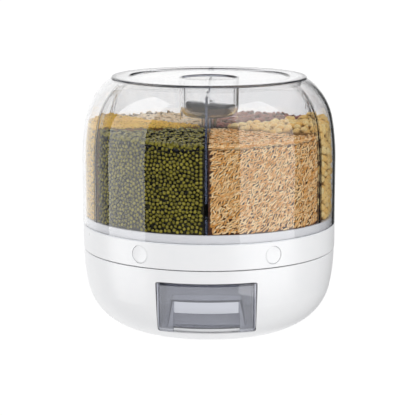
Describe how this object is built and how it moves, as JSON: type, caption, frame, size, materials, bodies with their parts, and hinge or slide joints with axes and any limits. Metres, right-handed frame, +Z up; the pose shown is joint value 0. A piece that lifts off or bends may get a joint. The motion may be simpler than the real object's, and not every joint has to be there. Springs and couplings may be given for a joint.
{
  "type": "rotating dry food dispenser",
  "caption": "Round countertop dispenser: a clear divided container turns on a white base, and buttons let grain fall into a drawer.",
  "frame": {"origin": "middle of the underside, on the plane of the rubber feet", "axes": "+Z up along the pivot, the drawer faces -Y, +X to the right seen from the front"},
  "size_m": [0.2414, 0.2414, 0.2387],
  "materials": {
    "white_plastic": "moulded white ABS, soft gloss",
    "clear_plastic": "clear moulded polystyrene, glossy",
    "smoke_plastic": "smoke-tinted clear polystyrene, glossy",
    "grip_plastic": "smoke-grey translucent plastic",
    "acetal": "natural acetal, satin",
    "dark_seal": "dark grey silicone",
    "clear_seal": "pale grey silicone",
    "foot_rubber": "grey rubber",
    "steel": "plated steel"
  },
  "bodies": {
    "base": {"base_housing": "white_plastic", "foot_pads": "foot_rubber", "base_deck": "white_plastic", "deck_screws": "steel", "drawer_tunnel": "white_plastic", "tunnel_screws": "steel", "pivot_washer": "steel", "pivot_screw": "steel"},
    "bearing": {"bearing_balls": "acetal", "bearing_cage": "acetal"},
    "turret": {"turntable_plate": "white_plastic", "pivot_bush": "acetal", "button_ring": "white_plastic", "ring_screws": "steel", "hopper_floor": "white_plastic", "floor_screws": "steel", "hopper_dome": "clear_plastic", "dome_seal": "clear_seal", "center_column": "clear_plastic", "divider_1": "clear_plastic", "divider_2": "clear_plastic", "divider_3": "clear_plastic", "divider_4": "clear_plastic", "divider_5": "clear_plastic", "divider_6": "clear_plastic", "gate_spring_1": "steel", "gate_spring_2": "steel", "gate_spring_3": "steel", "gate_spring_4": "steel", "gate_spring_5": "steel", "gate_spring_6": "steel"},
    "lid": {"lid_plate": "clear_plastic", "lid_seal": "dark_seal", "lid_grip": "grip_plastic"},
    "drawer": {"drawer_front": "smoke_plastic", "drawer_bin": "smoke_plastic"},
    "button_1": {"button_cap_1": "white_plastic", "gate_1": "acetal"},
    "button_2": {"button_cap_2": "white_plastic", "gate_2": "acetal"},
    "button_3": {"button_cap_3": "white_plastic", "gate_3": "acetal"},
    "button_4": {"button_cap_4": "white_plastic", "gate_4": "acetal"},
    "button_5": {"button_cap_5": "white_plastic", "gate_5": "acetal"},
    "button_6": {"button_cap_6": "white_plastic", "gate_6": "acetal"}
  },
  "joints": [
    {"name": "turret_spin", "type": "hinge", "parent": "base", "child": "turret", "pos_m": [0, 0, 0.0764], "axis": [0, 0, 1], "continuous": true},
    {"name": "bearing_spin", "type": "hinge", "parent": "base", "child": "bearing", "pos_m": [0, 0, 0.073], "axis": [0, 0, 1], "continuous": true},
    {"name": "lid_lift", "type": "slide", "parent": "turret", "child": "lid", "axis": [0, 0, 1], "range_m": [0, 0.12]},
    {"name": "drawer_pull", "type": "slide", "parent": "base", "child": "drawer", "axis": [0, -1, 0], "range_m": [0, 0.075]},
    {"name": "button_1_press", "type": "slide", "parent": "turret", "child": "button_1", "axis": [-0.5, 0.866, 0], "range_m": [0, 0.008], "stiffness_N_per_m": 180, "springref_m": -0.006, "deforming": ["gate_spring_1"]},
    {"name": "button_2_press", "type": "slide", "parent": "turret", "child": "button_2", "axis": [-1, 0, 0], "range_m": [0, 0.008], "stiffness_N_per_m": 180, "springref_m": -0.006, "deforming": ["gate_spring_2"]},
    {"name": "button_3_press", "type": "slide", "parent": "turret", "child": "button_3", "axis": [-0.5, -0.866, 0], "range_m": [0, 0.008], "stiffness_N_per_m": 180, "springref_m": -0.006, "deforming": ["gate_spring_3"]},
    {"name": "button_4_press", "type": "slide", "parent": "turret", "child": "button_4", "axis": [0.5, -0.866, 0], "range_m": [0, 0.008], "stiffness_N_per_m": 180, "springref_m": -0.006, "deforming": ["gate_spring_4"]},
    {"name": "button_5_press", "type": "slide", "parent": "turret", "child": "button_5", "axis": [1, 0, 0], "range_m": [0, 0.008], "stiffness_N_per_m": 180, "springref_m": -0.006, "deforming": ["gate_spring_5"]},
    {"name": "button_6_press", "type": "slide", "parent": "turret", "child": "button_6", "axis": [0.5, 0.866, 0], "range_m": [0, 0.008], "stiffness_N_per_m": 180, "springref_m": -0.006, "deforming": ["gate_spring_6"]}
  ],
  "couplings": [
    {"joint": "bearing_spin", "follows": "turret_spin", "ratio": 0.5}
  ]
}
